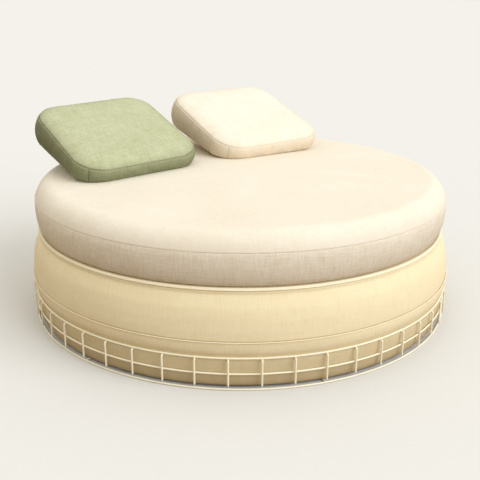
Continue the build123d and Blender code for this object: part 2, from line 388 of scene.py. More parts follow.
def birch_plywood():
    """Birch faces with a long grain, and dark and light plies on the edges."""
    ply = 0.0028

    def build(nodes):
        x, y, z = nodes.apart(nodes.place())
        grain = nodes.noise(nodes.vector(x * 3.0, y * 60.0, z * 60.0), 1.0, 4.0, 0.6)
        rings = nodes.noise(nodes.vector(x * 1.2, y * 9.0, z * 9.0), 1.0)
        level = nodes.apart(nodes.add("ShaderNodeNewGeometry").part("Normal"))[2]
        edge = nodes.between(1.0 - level * level, 0.4, 0.8)
        plies = (z * (TURN / ply)).wave() * 0.5 + 0.5
        figure = nodes.between(grain * 0.6 + rings * 0.4, 0.35, 0.65)
        face = nodes.mix(figure, paint(206, 172, 122), paint(229, 203, 160))
        side = nodes.mix(plies, paint(170, 128, 82), paint(222, 192, 146))
        return {"Base Color": nodes.mix(edge, face, side), "Roughness": 0.55 + grain * 0.2,
                "Normal": nodes.bump(grain, 0.3, 0.0003)}

    return finished("birch_plywood", {"Specular IOR Level": 0.4}, build)


def felt(name, dark, light, scale):
    """Matted fibres without a weave: the dust cloth, foam and stuffing."""

    def build(nodes):
        place = nodes.place()
        fibre = nodes.noise(place, scale, 4.0, 0.65)
        lump = nodes.noise(place, scale / 24)
        tone = nodes.between(fibre * 0.7 + lump * 0.3, 0.32, 0.68)
        return {"Base Color": nodes.mix(tone, dark, light), "Roughness": 0.86 + fibre * 0.1,
                "Normal": nodes.bump(fibre, 0.6, 0.0006)}

    return finished(name, {"Specular IOR Level": 0.2}, build)


def thread(name, light):
    """Twisted sewing thread."""

    def build(nodes):
        ply = nodes.noise(nodes.place(), 1500.0, 1.0)
        return {"Base Color": nodes.mix(ply, darker(light, 0.8), light), "Roughness": 0.6,
                "Normal": nodes.bump(ply, 0.4, 0.0001)}

    return finished(name, {"Sheen Weight": 0.1}, build)


# Meshes

def skin(name, points, faces, cloth, material):
    """A mesh with a cloth map. cloth has one place in metres for each corner of each face."""
    mesh = bpy.data.meshes.new(name)
    mesh.from_pydata([tuple(p) for p in points], [], faces)
    layer = mesh.uv_layers.new(name="cloth")
    layer.data.foreach_set("uv", np.asarray(cloth, float).reshape(-1))
    thing = bpy.data.objects.new(name, mesh)
    bpy.context.scene.collection.objects.link(thing)
    mesh.materials.append(material)
    mesh.polygons.foreach_set("use_smooth", [True] * len(mesh.polygons))
    mesh.update()
    return thing


def settled(piece, body, slot, nodes=()):
    """Ties a finished piece to its body, and hides the plain solids it stands for; its slot is not used."""
    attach(piece, body)
    if nodes:
        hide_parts(*nodes)


def numbered(name, count):
    return [f"{name}_{k + 1}" for k in range(count)]


def through(points, step=0.0045):
    """A smooth line through points of a section, cut into runs of about step."""
    points = np.array(points, float)
    before = np.vstack([2 * points[0] - points[1], points, 2 * points[-1] - points[-2]])
    line = [points[0]]
    for i in range(1, len(points)):
        a, b, c, d = before[i - 1:i + 3]
        count = max(2, round(np.linalg.norm(c - b) / step))
        for k in range(1, count + 1):
            t = k / count
            line.append(0.5 * (
                2 * b + (c - a) * t + (2 * a - 5 * b + 4 * c - d) * t ** 2 + (3 * b - a - 3 * c + d) * t ** 3
            ))
    return [tuple(p) for p in line]


def quarter(centre, axes, power, steps, start=0.0, stop=1.0):
    """Part of a rounded quarter, from level with its centre to straight over it."""
    line = []
    for k in range(steps + 1):
        turn = math.pi / 2 * (start + (stop - start) * k / steps)
        across = max(math.cos(turn), 0.0) ** (2 / power)
        upward = max(math.sin(turn), 0.0) ** (2 / power)
        line.append((centre[0] + axes[0] * across, centre[1] + axes[1] * upward))
    return line


def thinned(outline, steps):
    """How many points each ring of a disc gets. steps has radii with the count outside each, widest first."""
    return [1 if radius < NOTHING else next(count for least, count in steps if radius > least)
            for radius, _ in outline]


def joined(first, second, counts):
    """The faces between two rings of points, which may have the same number or twice as many."""
    a, b = counts[first], counts[second]
    if a == b:
        return [((first, k), (first, k + 1), (second, k + 1), (second, k)) for k in range(a)]
    if b == 1:
        return [((first, k), (first, k + 1), (second, 0)) for k in range(a)]
    if a == 1:
        return [((first, 0), (second, k + 1), (second, k)) for k in range(b)]
    many, few = (first, second) if a > b else (second, first)
    faces = []
    for k in range(min(a, b)):
        start, half, stop = (many, 2 * k), (many, 2 * k + 1), (many, 2 * k + 2)
        faces += [(start, half, (few, k)), (half, (few, k + 1), (few, k)), (half, stop, (few, k + 1))]
    return faces if a > b else [tuple(reversed(face)) for face in faces]


def turned(name, section, counts, material, closed=False, flat=False, pushed=None):
    """A skin turned round the bed's axis from a section of radius and height.

    counts is the number of points on each ring, 1 on the axis. flat says that the cloth was cut
    as one disc, and otherwise it was cut as a long strip. pushed moves the points of a ring.
    """
    if isinstance(counts, int):
        counts = thinned(section, [(0.0, counts)])
    section = np.array(section, float)
    run = np.concatenate([[0], np.cumsum(np.linalg.norm(np.diff(section, axis=0), axis=1))])
    points, starts = [], []
    for (radius, height), count in zip(section, counts):
        starts.append(len(points))
        angles = np.arange(count) * TURN / count
        radii, heights = np.full(count, radius), np.full(count, height)
        if pushed is not None and count > 1:
            radii, heights = pushed(radii, heights, angles)
        points += list(zip(radii * np.cos(angles), radii * np.sin(angles), heights))
    faces = []
    for ring in range(len(section) - 1):
        faces += joined(ring, ring + 1, counts)
    if closed:
        faces += joined(len(section) - 1, 0, counts)
    from_axis = np.abs(run - run[np.argmin(section[:, 0])])
    reach = section[:, 0].max()
    corners, cloth = [], []
    for face in faces:
        corners.append([starts[ring] + k % counts[ring] for ring, k in face])
        for ring, k in face:
            angle = k * TURN / counts[ring]
            if flat:
                cloth.append((from_axis[ring] * math.cos(angle), from_axis[ring] * math.sin(angle)))
            else:
                cloth.append((angle * reach, run[ring]))
    piece = skin(name, points, corners, cloth, material)
    outward(piece.data)
    return piece


def outward(mesh):
    """Turns every face to the outside."""
    work = bmesh.new()
    work.from_mesh(mesh)
    bmesh.ops.recalc_face_normals(work, faces=work.faces)
    work.to_mesh(mesh)
    work.free()


def ring_tube(name, radius, height, thick, material, around=480, sides=12):
    """A closed round tube that lies level round the axis."""
    turns = [TURN * k / sides for k in range(sides)]
    section = [(radius + thick * math.cos(turn), height + thick * math.sin(turn)) for turn in turns]
    return turned(name, section, around, material, closed=True)


# Padding, and the puckers that a seam draws into it

PUCKER_REACH = 0.012
PUCKER_START = 0.003
CALM_REACH = 0.02


def ripple(angle, scale, seed):
    """A smooth uneven line round the bed, with about scale waves to the metre."""
    reach = scale * RING_RADIUS
    return np.array([noise.noise(Vector((math.cos(a) * reach, math.sin(a) * reach, seed))) for a in angle])


def puckers(angles, away, deep, waves, seed):
    """Small folds round the bed, at a distance from a seam."""
    fade = math.exp(-away / PUCKER_REACH) * min(1.0, away / PUCKER_START)
    return deep * fade * ripple(angles, waves, seed)


def uneven(angles, long_waves, long_seed, short_waves, short_seed):
    """Padding that rises and falls in long waves, with lower short ones on them."""
    short_share = 0.4
    return ripple(angles, long_waves, long_seed) + short_share * ripple(angles, short_waves, short_seed)


def top_height(radius):
    """Height of the top of the mattress between its shoulders."""
    return SHOULDER_HEIGHT + DOME * (1 - (radius / SHOULDER_RADIUS) ** 2)


# Shapes that repeat

def tree_with(name, kinds):
    """A new tree for a modifier, with its sizes as named inputs between its mesh and its material."""
    tree = bpy.data.node_groups.new(name, "GeometryNodeTree")
    for label, kind in {"Geometry": "Geometry", **kinds, "Material": "Material"}.items():
        tree.interface.new_socket(name=label, in_out="INPUT", socket_type=f"NodeSocket{kind}")
    tree.interface.new_socket(name="Geometry", in_out="OUTPUT", socket_type="NodeSocketGeometry")
    nodes = Nodes(tree)
    return tree, nodes, nodes.add("NodeGroupInput").part


def grown(name, tree, points, edges, values, material):
    """Runs a tree on a few points and edges and keeps the result as a plain mesh."""
    mesh = bpy.data.meshes.new(f"{name}_path")
    mesh.from_pydata(points, edges, [])
    host = bpy.data.objects.new(name, mesh)
    bpy.context.scene.collection.objects.link(host)
    modifier = host.modifiers.new(name, "NODES")
    modifier.node_group = tree
    named = {s.name: s.identifier for s in tree.interface.items_tree if s.in_out == "INPUT"}
    for label, value in {**values, "Material": material}.items():
        modifier[named[label]] = value
    evaluated = host.evaluated_get(bpy.context.evaluated_depsgraph_get())
    made = bpy.data.meshes.new_from_object(evaluated)
    if not len(made.polygons):
        raise RuntimeError(f"{name}: the tree made nothing")
    host.modifiers.clear()
    host.data = made
    made.name = name
    bpy.data.meshes.remove(mesh)
    return host


def spun(nodes, shape, count):
    """Copies of a shape turned evenly round the bed's axis."""
    line = nodes.add("GeometryNodeMeshLine", {"Count": count, "Offset": (0, 0, 0)}, mode="OFFSET")
    index = nodes.add("GeometryNodeInputIndex")
    turn = nodes.add("FunctionNodeEulerToRotation", {"Euler": nodes.vector(0.0, 0.0, index * TURN / count)})
    return nodes.add("GeometryNodeInstanceOnPoints", {"Points": line, "Instance": shape, "Rotation": turn})


def ended(nodes, instances, material):
    """Realizes what a tree made, gives it its material and ends the tree."""
    real = nodes.add("GeometryNodeRealizeInstances", {"Geometry": instances})
    smooth = nodes.add("GeometryNodeSetShadeSmooth", {"Geometry": real, "Shade Smooth": True})
    coat = nodes.add("GeometryNodeSetMaterial", {"Geometry": smooth, "Material": material})
    nodes.add("NodeGroupOutput", {"Geometry": coat})


def ball(nodes, segments, rings, radius):
    return nodes.add("GeometryNodeMeshUVSphere", {"Segments": segments, "Rings": rings, "Radius": radius})


def wire_tree():
    """A bent round wire with a ball at its tip, copied round the bed."""
    tree, nodes, given = tree_with("wires", {
        "Wire Radius": "Float", "Bend Radius": "Float", "Tip": "Vector", "Tip Radius": "Float",
        "Count": "Int"})
    path = nodes.add("GeometryNodeMeshToCurve", {"Mesh": given("Geometry")})
    bends = {"Curve": path, "Count": 7, "Radius": given("Bend Radius"), "Limit Radius": True}
    bent = nodes.add("GeometryNodeFilletCurve", bends, mode="POLY")
    thick = nodes.add("GeometryNodeCurvePrimitiveCircle", {"Resolution": 12, "Radius": given("Wire Radius")})
    wire = nodes.add("GeometryNodeCurveToMesh", {"Curve": bent, "Profile Curve": thick, "Fill Caps": True})
    ending = {"Geometry": ball(nodes, 12, 8, given("Tip Radius")), "Translation": given("Tip")}
    tip = nodes.add("GeometryNodeTransform", ending)
    whole = nodes.add("GeometryNodeJoinGeometry", {"Geometry": [wire, tip]})
    ended(nodes, spun(nodes, whole, given("Count")), given("Material"))
    return tree


def weld_tree():
    """Flattened beads of uneven size on a few points, copied round the bed."""
    tree, nodes, given = tree_with("welds", {"Length": "Float", "Count": "Int", "Seed": "Int"})
    spread = {0: (0.8, 0.85, 0.55), 1: (1.0, 1.1, 0.75), "Seed": given("Seed")}
    sizes = nodes.add("FunctionNodeRandomValue", spread, data_type="FLOAT_VECTOR")
    beads = nodes.add("GeometryNodeInstanceOnPoints", {
        "Points": given("Geometry"), "Instance": ball(nodes, 8, 5, given("Length")), "Scale": sizes})
    ended(nodes, spun(nodes, beads, given("Count")), given("Material"))
    return tree


def stitch_tree():
    """Small long stitches of uneven length, one after another on closed lines."""
    tree, nodes, given = tree_with("stitches", {
        "Pitch": "Float", "Thread Radius": "Float", "Stitch Length": "Float", "Seed": "Int"})
    path = nodes.add("GeometryNodeMeshToCurve", {"Mesh": given("Geometry")})
    places = nodes.add("GeometryNodeResampleCurve", {"Curve": path, "Length": given("Pitch")}, mode="LENGTH")
    spread = {2: 0.88, 3: 1.05, "Seed": given("Seed")}
    sizes = nodes.add("FunctionNodeRandomValue", spread, data_type="FLOAT")
    tangent = nodes.add("GeometryNodeInputTangent")
    along = nodes.add("FunctionNodeAlignRotationToVector", {"Vector": tangent}, axis="X")
    half, thick = given("Stitch Length") * 0.5, given("Thread Radius")
    stitches = nodes.add("GeometryNodeInstanceOnPoints", {
        "Points": places, "Instance": ball(nodes, 6, 4, 1.0), "Rotation": along,
        "Scale": nodes.vector(half * sizes.part(1), thick, thick)})
    ended(nodes, stitches, given("Material"))
    return tree


def wires(name, path, tip, count, sizes):
    """Copies of one bent wire round the bed, rounded at the end that is free."""
    radius, tip_share = sizes.wire / 2, 0.998
    tree = bpy.data.node_groups.get("wires") or wire_tree()
    values = {"Wire Radius": radius, "Bend Radius": sizes.bend, "Tip": tip, "Tip Radius": radius * tip_share,
              "Count": count}
    edges = [(k, k + 1) for k in range(len(path) - 1)]
    return grown(name, tree, path, edges, values, powder_coat(sizes.paint))


def stitched(name, loops, material, length, thick):
    """Stitches along closed lines of points."""
    points, edges = [], []
    for loop in loops:
        first = len(points)
        points += [tuple(p) for p in loop]
        edges += [(first + k, first + (k + 1) % len(loop)) for k in range(len(loop))]
    values = {"Pitch": 0.0065, "Thread Radius": thick, "Stitch Length": length, "Seed": 11}
    tree = bpy.data.node_groups.get("stitches") or stitch_tree()
    return grown(name, tree, points, edges, values, material)


# The basket

class BED_OT_rings(Operator):
    """Makes the three wire rings and the flat bar under the drum"""
    bl_idname = "round_bed.rings"
    bl_label = "Rings and flat bar"

    def execute(self, context):
        sizes = context.scene.bed_basket
        coat = powder_coat(sizes.paint)
        for place, height in zip(("bottom", "middle", "top"), RING_HEIGHTS):
            ring = ring_tube(f"{place}_wire_ring", RING_RADIUS, height, sizes.wire / 2, coat)
            settled(ring, "base", "cream_wire", [f"{place}_ring"])
        bar = turned("inner_flat_bar", self.bar_section(), 240, coat, closed=True)
        settled(bar, "base", "cream_wire", ["inner_ring"])
        return {"FINISHED"}

    def bar_section(self):
        """A flat bar with rounded edges."""
        low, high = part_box("inner_ring")
        tall, edge, steps = high.z - low.z, 0.0012, 3
        section = []
        for corner, (across, up) in enumerate([(-1, -1), (1, -1), (1, 1), (-1, 1)]):
            for k in range(steps + 1):
                turn = math.pi * (1 + corner / 2) + math.pi / 2 * k / steps
                section.append((
                    INNER_RADIUS + across * (BAR_HALF - edge) + edge * math.cos(turn),
                    low.z + tall / 2 + up * (tall / 2 - edge) + edge * math.sin(turn),
                ))
        return section


class BED_OT_uprights(Operator):
    """Bends the uprights and stands them round the basket"""
    bl_idname = "round_bed.uprights"
    bl_label = "Uprights"

    def execute(self, context):
        sizes = context.scene.bed_basket
        radius = sizes.wire / 2
        outer = RING_RADIUS + 2 * radius + CLEAR
        tip = (outer, 0, UPRIGHT_FOOT + radius)
        path = [(RING_RADIUS - radius, 0, STUB_HEIGHT), (outer, 0, STUB_HEIGHT), tip]
        uprights = wires("upright_wires", path, tip, sizes.uprights, sizes)
        # The solids have the uprights in eight groups
        settled(uprights, "base", "cream_wire", numbered("uprights", 8))
        return {"FINISHED"}


class BED_OT_spokes(Operator):
    """Lays the spokes under the drum and the ties that hold the basket to its wall"""
    bl_idname = "round_bed.spokes"
    bl_label = "Spokes and ties"

    def execute(self, context):
        sizes = context.scene.bed_basket
        radius = sizes.wire / 2
        turn, stop, wall_gap = sizes.first_tie, RING_RADIUS - radius, 0.0005
        starts = {
            "spoke": (INNER_RADIUS + BAR_HALF, RING_HEIGHTS[0]),
            "tie": (WALL_RADIUS + wall_gap, STUB_HEIGHT),
        }
        for name, (start, height) in starts.items():
            inner, outer, tip = [
                (math.cos(turn) * reach, math.sin(turn) * reach, height)
                for reach in (start, stop, start + radius)
            ]
            bars = wires(f"{name}_wires", [inner, outer], tip, sizes.ties, sizes)
            settled(bars, "base", "cream_wire", numbered(name, 6))
        return {"FINISHED"}


class BED_OT_welds(Operator):
    """Lays a weld bead wherever an upright meets a ring"""
    bl_idname = "round_bed.welds"
    bl_label = "Welds"

    def execute(self, context):
        sizes = context.scene.bed_basket
        radius = sizes.wire / 2
        places = [(RING_RADIUS + radius, 0, RING_HEIGHTS[1]), (RING_RADIUS, 0, RING_HEIGHTS[2] - radius)]
        values = {"Length": sizes.bead, "Count": sizes.uprights, "Seed": 5}
        beads = grown("weld_beads", weld_tree(), places, [], values, powder_coat(sizes.paint))
        settled(beads, "base", "cream_wire")
        return {"FINISHED"}


# The drum

class BED_OT_boards(Operator):
    """Finishes the boards inside the drum"""
    bl_idname = "round_bed.boards"
    bl_label = "Boards"

    def execute(self, context):
        wood = birch_plywood()
        for name in ("base_panel", "wall_frame", "long_rib", "head_rib", "foot_rib", "deck_panel"):
            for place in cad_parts[name].material_slots:
                place.material = wood
        return {"FINISHED"}


class BED_OT_dust_cloth(Operator):
    """Stretches the dust cloth under the drum"""
    bl_idname = "round_bed.dust_cloth"
    bl_label = "Dust cloth"

    def execute(self, context):
        low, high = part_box("dust_cover")
        edge, steps, sag, thick_share = BOARD_CORNER, 12, 0.0004, 0.4
        thick = (high.z - low.z) * thick_share
        top = high.z - CLEAR
        radii = [edge * k / steps for k in range(steps + 1)]
        under = [(r, top - thick - sag * math.cos(math.pi / 2 * r / edge)) for r in radii]
        section = under + [(edge, top)] + [(r, top) for r in reversed(radii[:-1])]
        black = felt("dust_felt", paint(38, 37, 36), paint(70, 68, 66), 700.0)
        cloth = turned("dust_cloth_sheet", section, 192, black, flat=True)
        settled(cloth, "base", "dust_cloth", ["dust_cover"])
        return {"FINISHED"}


class BED_OT_covers(Operator):
    """Pads the wall of the drum and pulls its two linen covers over it"""
    bl_idname = "round_bed.covers"
    bl_label = "Drum covers"

    def execute(self, context):
        inside = BOARD_CORNER + 2 * CLEAR
        foot = DRUM_FOOT + CLEAR
        lower_top, upper_foot, upper_top = 0.2066, 0.2074, DRUM_TOP - 0.0003
        ring_height, rim_height = 0.138, 0.4008

        lower = through([
            (0.950, foot), (0.966, DRUM_FOOT + 0.0003), (0.9782, DRUM_FOOT + 0.0026), (0.9842, 0.0150),
            (0.9876, 0.0230), (0.9898, 0.040), (0.9914, 0.075), (0.9938, 0.105), (0.9948, 0.128),
            (0.9950, ring_height), (0.9978, 0.1465), (1.0018, 0.156), (1.0043, 0.170), (1.0052, 0.186),
            (1.0050, 0.198), (1.0040, 0.2035),
        ])
        lower += [(1.0018, 0.2056), (0.9985, 0.2064), (0.990, lower_top), (inside, lower_top), (inside, foot)]
        upper = [(inside, upper_foot), (0.990, upper_foot), (0.9985, 0.2077), (1.0020, 0.2086)]
        upper += through([
            (1.0038, 0.2110), (1.0046, 0.2170), (1.0044, 0.2350), (1.0034, 0.2520), (1.0014, 0.2700),
            (0.9990, 0.2890), (0.9950, 0.3100), (0.9886, 0.3360), (0.9790, 0.3600), (0.9690, 0.3820),
            (0.9664, 0.3900), (0.9668, 0.3950),
        ])
        upper += [(0.9666, 0.3985), (0.9650, rim_height), (0.9622, 0.4019), (0.9560, upper_top)]
        upper += [(inside, upper_top)]

        # Painted shade: the lower cover darkens towards the floor
        shade = ((0.46, 0.40, 0.31), 0.0, 0.19)
        covers = {
            "lower": (lower, drum_cloth("lower_weave", foot=shade), [lower_top, DRUM_FOOT], ring_height),
            "upper": (upper, drum_cloth("drum_weave"), [upper_foot, rim_height], None),
        }
        for name, (outline, cloth, seams, free) in covers.items():
            pushed = self.padding(context.scene.bed_drum.swell, inside + 0.012, seams, free)
            cover = turned(f"drum_{name}_cover", outline, 960, cloth, closed=True, pushed=pushed)
            settled(cover, "base", "drum_linen", [f"{name}_cover"])
        return {"FINISHED"}

    def padding(self, swell, inside, seams, free):
        """How the padding swells, with puckers beside the seams and none near the free height."""
        ring_gap, ring_reach = 0.012, 0.03

        def pushed(radii, heights, angles):
            height = heights[0]
            if radii[0] < inside:
                return radii, heights
            away = min(abs(height - seam) for seam in seams)
            calm = min(1.0, max(0.0, (abs(height - free) - ring_gap) / ring_reach)) if free else 1.0
            calm *= min(1.0, away / CALM_REACH)
            moved = swell * calm * uneven(angles, 3.0, height * 7, 9.0, height * 30)
            return radii + moved + puckers(angles, away, 0.0008, 34.0, height * 3), heights

        return pushed


class BED_OT_trim(Operator):
    """Sews the welt between the covers and the piping round the deck"""
    bl_idname = "round_bed.trim"
    bl_label = "Welt and piping"

    def execute(self, context):
        sizes = context.scene.bed_drum
        welt_radius, welt_height = 1.0072, DRUM_SEAM - 0.0006
        cloth = trim_cloth()
        welt = ring_tube("drum_welt", welt_radius, welt_height, sizes.welt, cloth, around=720, sides=10)
        settled(welt, "base", "drum_trim", ["base_welt"])
        piping = turned("deck_piping", self.piping_section(sizes.piping), 960, cloth, closed=True)
        settled(piping, "base", "drum_trim", ["rim_piping"])
        return {"FINISHED"}

    def piping_section(self, radius):
        """A cord low on the outer side, and the flange that holds it between cover and deck."""
        low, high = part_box("rim_piping")
        cord_x, cord_z = high.x - radius, low.z + radius
        under_cord, over_cord, step = -110, 60, 17
        turns = [math.radians(angle) for angle in range(under_cord, over_cord + 1, step)]
        section = [(cord_x + radius * math.cos(turn), cord_z + radius * math.sin(turn)) for turn in turns]
        width, edge = 0.012, 0.0012
        back = high.x - width
        section += [(high.x - 0.0036, high.z - 0.0030), (high.x - 0.0046, high.z - 0.0008)]
        section += [(high.x - 0.0070, high.z)]
        section += [(back + edge, high.z), (back, high.z - edge), (back, low.z + edge), (back + edge, low.z)]
        return section


class BED_OT_deck(Operator):
    """Lays the padded cloth on the deck, where the mattress rests"""
    bl_idname = "round_bed.deck"
    bl_label = "Deck"

    def execute(self, context):
        low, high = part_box("deck_cover")
        bottom, top = low.z + CLEAR, high.z
        edge, foot_wide, foot_tall, rim_wide, rim_tall = 0.9572, 0.005, 0.004, 0.010, 0.007
        foot = edge - foot_wide
        outline = [(0.0, bottom), (0.4, bottom), (0.8, bottom), (foot, bottom)]
        outline += quarter((foot, bottom + foot_tall), (foot_wide, -foot_tall), 2.0, 4, 1.0, 0.0)[1:]
        outline += quarter((edge - rim_wide, top - rim_tall), (rim_wide, rim_tall), 2.2, 7)
        outline += [(r, top) for r in (0.94, 0.92, 0.88, 0.80, 0.70, 0.55, 0.40, 0.25, 0.12, 0.0)]
        counts = thinned(outline, [(0.5, 384), (0.2, 192), (0.0, 96)])
        deck = turned("deck_pad", outline, counts, cotton(), flat=True)
        settled(deck, "base", "deck_cloth", ["deck_cover"])
        return {"FINISHED"}


# The mattress

class BED_OT_mattress(Operator):
    """Makes the mattress: foam, wall, top and underside"""
    bl_idname = "round_bed.mattress"
    bl_label = "Mattress"

    def execute(self, context):
        inside = CORE_CORNER + 2 * CLEAR
        lower, upper = self.outline()
        pushed = self.padding(context.scene.bed_mattress.swell, inside + 0.004)
        self.make_wall(inside, lower, pushed)
        self.make_top(upper, pushed)
        self.make_underside(inside)
        self.make_core(inside)
        return {"FINISHED"}

    def outline(self):
        """The rounded outer sides of the wall and of the top in section."""
        foot_gap, below_seam, above_seam = 0.0017, 0.0030, 0.0032
        low = WIDEST_HEIGHT - MATTRESS_FOOT - foot_gap
        lower = quarter((NECK_RADIUS, WIDEST_HEIGHT), (WIDEST_RADIUS - NECK_RADIUS, -low), 2.0, 26, 1.0, 0.0)
        wide = (WIDEST_RADIUS - SHOULDER_RADIUS, SHOULDER_HEIGHT - WIDEST_HEIGHT)
        upper = quarter((SHOULDER_RADIUS, WIDEST_HEIGHT), wide, SHOULDER_ROUND, 60)
        below = [p for p in upper if p[1] < MATTRESS_SEAM - below_seam]
        above = [p for p in upper if p[1] > MATTRESS_SEAM + above_seam]
        return lower + below[1:], above

    def padding(self, swell, inside):
        """How the foam swells the cloth, with puckers beside the seam and slight hollows in the top."""
        foot, hollow, shoulder = MATTRESS_FOOT + CLEAR + 0.004, 0.0004, 0.05

        def pushed(radii, heights, angles):
            height, radius = heights[0], radii[0]
            if radius < inside and height < MATTRESS_SEAM:
                return radii, heights
            if radius < SHOULDER_RADIUS and height > MATTRESS_SEAM:
                flat = min(1.0, (SHOULDER_RADIUS - radius) / shoulder)
                return radii, heights - hollow * flat * (1 + ripple(angles, radius / RING_RADIUS * 3.0, 2.0))
            away = abs(height - MATTRESS_SEAM)
            calm = min(1.0, away / CALM_REACH) * min(1.0, max(0.0, height - foot) / CALM_REACH)
            side = swell * calm * uneven(angles, 2.5, height * 6, 8.0, height * 20)
            return radii + side + puckers(angles, away, 0.0007, 30.0, height * 3 + 4), heights

        return pushed

    def make_wall(self, inside, lower, pushed):
        rest, seam, over = MATTRESS_FOOT + CLEAR, MATTRESS_SEAM, MATTRESS_SEAM - 0.0003
        wall = [(inside, rest), (0.905, rest), (0.930, rest)] + lower
        wall += [(0.9756, seam - 0.0017), (0.9751, seam - 0.0009), (0.9742, seam - 0.0004)]
        wall += [(0.965, over), (inside, over)]
        # Painted shade: the wall darkens from the seam down to its foot
        cloth = mattress_cloth("bed_linen", contrast=1.1, foot=((0.80, 0.77, 0.72), MATTRESS_FOOT, seam))
        side = turned("mattress_wall", wall, 960, cloth, closed=True, pushed=pushed)
        settled(side, "mattress", "mattress_linen", ["mattress_side"])

    def make_top(self, upper, pushed):
        under, seam = MATTRESS_SEAM + 0.0003, MATTRESS_SEAM
        top = [(0.0, under), (0.50, under), (0.90, under), (0.965, under)]
        top += [(0.9740, seam + 0.0004), (0.9748, seam + 0.0009), (0.9750, seam + 0.0018)] + upper
        rings = [0.876, 0.862, 0.846, 0.826, 0.802, 0.775, 0.745]
        rings += [round(0.71 - 0.04 * k, 2) for k in range(16)] + [0.075, 0.04, 0.0]
        top += [(r, top_height(r)) for r in rings]
        counts = thinned(top, [(0.84, 960), (0.5, 480), (0.2, 240), (0.09, 120), (0.0, 60)])
        counts[1], counts[2] = 480, 960
        cloth = mattress_cloth("top_linen", contrast=0.4, turn=-34.0)
        cover = turned("mattress_top_cover", top, counts, cloth, flat=True, pushed=pushed)
        settled(cover, "mattress", "mattress_linen", ["mattress_top"])

    def make_underside(self, inside):
        low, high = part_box("mattress_underside")
        bottom, top, edge = low.z + CLEAR, high.z - 0.0001, inside - 0.0006
        under = [(0.0, bottom), (0.45, bottom), (inside - 0.003, bottom), (inside - 0.001, low.z + 0.0007)]
        under += [(edge, high.z - 0.0004), (inside - 0.002, top), (0.45, top), (0.0, top)]
        base = turned("mattress_base_cloth", under, 192, cotton(), flat=True)
        settled(base, "mattress", "mattress_linen", ["mattress_underside"])

    def make_core(self, inside):
        low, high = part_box("mattress_core")
        bottom, top, edge, bevel = low.z + CLEAR, high.z - 0.0001, inside - 0.0008, 0.004
        section = [(0.0, bottom), (0.45, bottom), (edge - bevel, bottom), (edge, low.z + bevel)]
        section += [(edge, high.z - bevel), (edge - bevel, top), (0.45, top), (0.0, top)]
        foam = felt("pale_foam", paint(214, 206, 176), paint(236, 230, 206), 260.0)
        core = turned("mattress_foam_core", section, 192, foam, flat=True)
        settled(core, "mattress", "mattress_foam", ["mattress_core"])


class BED_OT_stitches(Operator):
    """Sews a row of stitches on each side of the mattress seam"""
    bl_idname = "round_bed.stitches"
    bl_label = "Mattress stitches"

    def execute(self, context):
        sizes = context.scene.bed_mattress
        count, beside = 720, 0.0055
        turns = [TURN * k / count for k in range(count)]
        rows = [(0.9753, MATTRESS_SEAM + beside), (0.9761, MATTRESS_SEAM - beside)]
        loops = [[(r * math.cos(turn), r * math.sin(turn), z) for turn in turns] for r, z in rows]
        pale = thread("mattress_thread", sizes.linen)
        stitches = stitched("mattress_stitches", loops, pale, sizes.stitch, 0.00045)
        settled(stitches, "mattress", "mattress_linen")
        return {"FINISHED"}


# The cushions

def gauge(x, y, half, corner):
    """How far out a place lies on a rounded square: 0 in its middle and 1 on its edge."""
    x, y = abs(x), abs(y)
    straight = half - corner
    reach = max(x, y)
    if reach < NOTHING:
        return 0.0
    if min(x, y) / reach * half <= straight:
        return reach / half
    square = x * x + y * y
    along = straight * (x + y)
    root = math.sqrt(max(along * along - square * (2 * straight * straight - corner * corner), 0.0))
    return square / (along + root)


def rounded(x, y, half, corner):
    """A place on a plain square moved onto the rounded one."""
    straight = half - corner
    p, q = (abs(x) - straight) / corner, (abs(y) - straight) / corner
    if p > 0 and q > 0:
        x = math.copysign(straight + corner * p * math.sqrt(1 - q * q / 2), x)
        y = math.copysign(straight + corner * q * math.sqrt(1 - p * p / 2), y)
    return x, y


